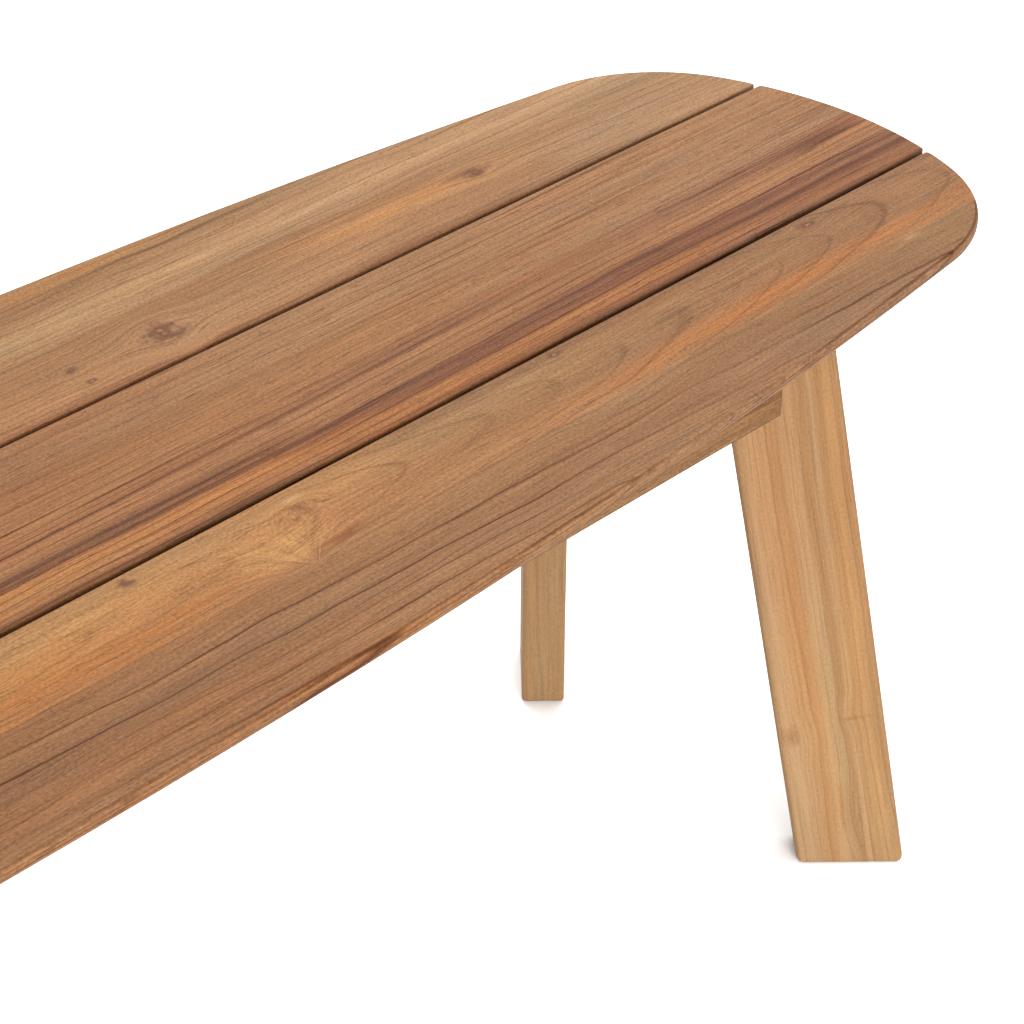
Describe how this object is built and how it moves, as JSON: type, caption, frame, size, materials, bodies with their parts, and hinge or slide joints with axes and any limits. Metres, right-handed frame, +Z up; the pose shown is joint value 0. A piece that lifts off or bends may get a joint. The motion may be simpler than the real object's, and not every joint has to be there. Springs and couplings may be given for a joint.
{
  "type": "backless bench",
  "caption": "Backless bench: boat-shaped seat of lengthwise planks on a railed frame, with splayed board legs set diagonally across its corners.",
  "frame": {"origin": "on the floor, under the middle of the seat", "axes": "+X along the bench to its right end, +Y across it to the rear, +Z up"},
  "size_m": [1.6, 0.418, 0.45],
  "materials": {
    "teak_stave_front_outer": "sanded, soft satin, open pores",
    "teak_stave_front_inner": "sanded, soft satin, open pores",
    "teak_stave_middle_front": "sanded, soft satin, open pores",
    "teak_stave_middle_rear": "sanded, soft satin, open pores",
    "teak_stave_rear_inner": "sanded, soft satin, open pores",
    "teak_stave_rear_outer": "sanded, soft satin, open pores",
    "teak_leg": "sanded, soft satin, open pores",
    "teak_rail": "sanded, soft satin, open pores",
    "teak_batten": "planed, dull",
    "dowel_wood": "planed, dull",
    "stainless": "satin",
    "insert_brass": "satin"
  },
  "bodies": {
    "root": {"stave_front_outer": "teak_stave_front_outer", "stave_front_inner": "teak_stave_front_inner", "stave_middle_front": "teak_stave_middle_front", "stave_middle_rear": "teak_stave_middle_rear", "stave_rear_inner": "teak_stave_rear_inner", "stave_rear_outer": "teak_stave_rear_outer", "rail_front": "teak_rail", "rail_rear": "teak_rail", "rail_left": "teak_rail", "rail_right": "teak_rail", "batten_left_outer": "teak_batten", "batten_left_inner": "teak_batten", "batten_right_inner": "teak_batten", "batten_right_outer": "teak_batten", "leg_front_left": "teak_leg", "leg_front_right": "teak_leg", "leg_rear_left": "teak_leg", "leg_rear_right": "teak_leg", "corner_block_front_left": "teak_batten", "corner_block_front_right": "teak_batten", "corner_block_rear_left": "teak_batten", "corner_block_rear_right": "teak_batten", "rail_dowels": "dowel_wood", "plank_screws": "stainless", "batten_screws": "stainless", "leg_bolts": "stainless", "leg_washers": "stainless", "leg_inserts": "insert_brass"}
  },
  "joints": []
}
